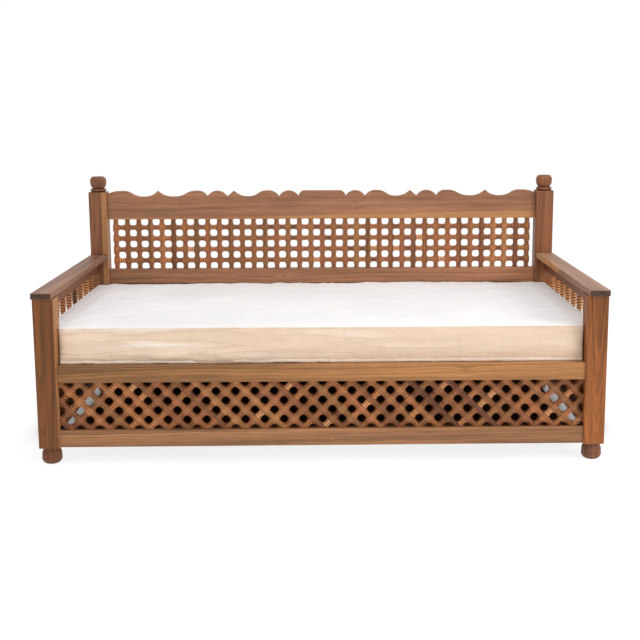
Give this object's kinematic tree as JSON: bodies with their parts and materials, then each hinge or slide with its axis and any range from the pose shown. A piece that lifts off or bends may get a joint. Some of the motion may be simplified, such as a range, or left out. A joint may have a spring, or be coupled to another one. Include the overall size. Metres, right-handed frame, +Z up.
{
  "type": "daybed",
  "caption": "Wooden daybed with turned-spindle lattices at the back and below the seat, flat arms on turned spindles, a scalloped top rail, ball finials, bun feet and a loose mattress.",
  "frame": {"origin": "on the floor, under the middle of the object's bounding box", "axes": "+Z up, +X along the length, -Y out of the open front"},
  "size_m": [2.066, 1.1, 0.98],
  "materials": {
    "timber": "oiled satin hardwood, warm brown with lighter streaks",
    "turned_timber": "oiled satin hardwood, turned",
    "inner_timber": "planed hardwood, unfinished",
    "dark_board": "thin hardwood board, stained dark",
    "screw_steel": "plated steel",
    "cover_cloth": "plain unbleached cotton, matt"
  },
  "bodies": {
    "frame": {"back_crest_rail": "timber", "back_lattice_pegs": "turned_timber", "back_lattice_spindles": "turned_timber", "back_lower_rail": "timber", "cleat_screws": "screw_steel", "dust_board": "dark_board", "front_bottom_rail": "timber", "front_cleat": "inner_timber", "front_lattice_pegs": "turned_timber", "front_lattice_spindles": "turned_timber", "front_left_foot": "timber", "front_left_post": "timber", "front_right_foot": "timber", "front_right_post": "timber", "front_seat_rail": "timber", "left_arm_cap": "timber", "left_arm_rail": "timber", "left_arm_spindles": "turned_timber", "left_bottom_rail": "timber", "left_finial": "timber", "left_lattice_pegs": "turned_timber", "left_lattice_spindles": "turned_timber", "left_seat_rail": "timber", "rear_bottom_rail": "timber", "rear_cleat": "inner_timber", "rear_left_foot": "timber", "rear_left_post": "timber", "rear_panel": "dark_board", "rear_right_foot": "timber", "rear_right_post": "timber", "rear_seat_rail": "timber", "right_arm_cap": "timber", "right_arm_rail": "timber", "right_arm_spindles": "turned_timber", "right_bottom_rail": "timber", "right_finial": "timber", "right_lattice_pegs": "turned_timber", "right_lattice_spindles": "turned_timber", "right_seat_rail": "timber", "slat_01": "inner_timber", "slat_02": "inner_timber", "slat_03": "inner_timber", "slat_04": "inner_timber", "slat_05": "inner_timber", "slat_06": "inner_timber", "slat_07": "inner_timber", "slat_08": "inner_timber", "slat_09": "inner_timber", "slat_10": "inner_timber", "slat_11": "inner_timber", "slat_12": "inner_timber", "slat_13": "inner_timber", "slat_14": "inner_timber", "slat_15": "inner_timber", "slat_screws": "screw_steel", "slat_support_beam": "inner_timber"},
    "mattress": {"mattress": "cover_cloth"}
  },
  "joints": [
    {"name": "mattress_lift", "type": "slide", "parent": "frame", "child": "mattress", "axis": [0, 0, 1], "range_m": [0, 0.11]}
  ]
}
